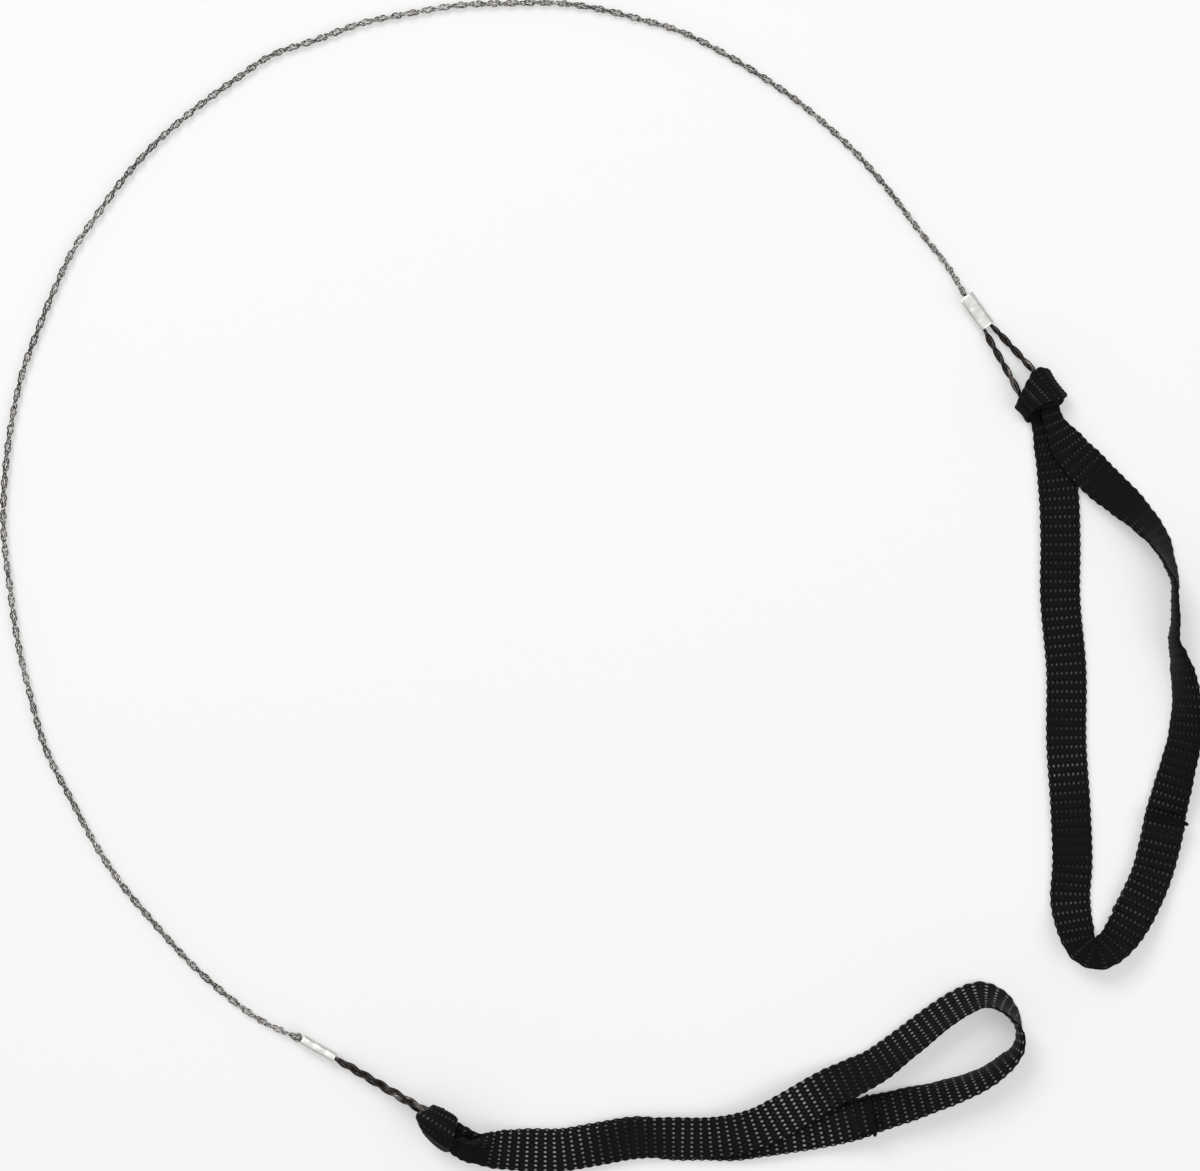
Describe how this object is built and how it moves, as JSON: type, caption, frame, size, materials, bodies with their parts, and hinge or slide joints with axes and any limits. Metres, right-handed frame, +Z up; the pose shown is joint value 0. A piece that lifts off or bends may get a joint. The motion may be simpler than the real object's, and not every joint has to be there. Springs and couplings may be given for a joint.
{
  "type": "hand wire saw",
  "caption": "Hand wire saw: a twisted steel saw wire with a crimped sleeve and a wire eye at each end, and a looped webbing handle hitched on each eye.",
  "frame": {"origin": "on the table plane, under the middle of the box of the sleeves, eyes and handles", "axes": "+Z up from the table it lies on, +Y from the handle at the open end towards the sleeve of the other handle, +X towards the handles"},
  "size_m": [0.2994, 0.2925, 0.0102],
  "materials": {
    "saw_steel": "drawn and twisted, darkened between the wires",
    "sleeve_aluminium": "satin, pressed flat",
    "eye_steel": "dark glossy steel wire",
    "nylon_webbing": "ribbed woven webbing",
    "stitch_thread": "sewn thread"
  },
  "bodies": {
    "saw": {"saw_wire": "saw_steel", "crimp_sleeve_a": "sleeve_aluminium", "crimp_sleeve_b": "sleeve_aluminium", "wire_eye_a": "eye_steel", "wire_eye_b": "eye_steel"},
    "handle_a": {"webbing_strap_a": "nylon_webbing", "bar_tack_a_1": "stitch_thread", "bar_tack_a_2": "stitch_thread"},
    "handle_b": {"webbing_strap_b": "nylon_webbing", "bar_tack_b_1": "stitch_thread", "bar_tack_b_2": "stitch_thread"}
  },
  "joints": [
    {"name": "handle_a_hinge", "type": "hinge", "parent": "saw", "child": "handle_a", "pos_m": [0.0721, 0.08441, 0.0028], "axis": [0.8141, 0.5807, 0], "range_deg": [-90, 90]},
    {"name": "handle_b_hinge", "type": "hinge", "parent": "saw", "child": "handle_b", "pos_m": [-0.0778, -0.09533, 0.00475], "axis": [0.1274, 0.2253, 0.9659], "range_deg": [-90, 90]}
  ]
}
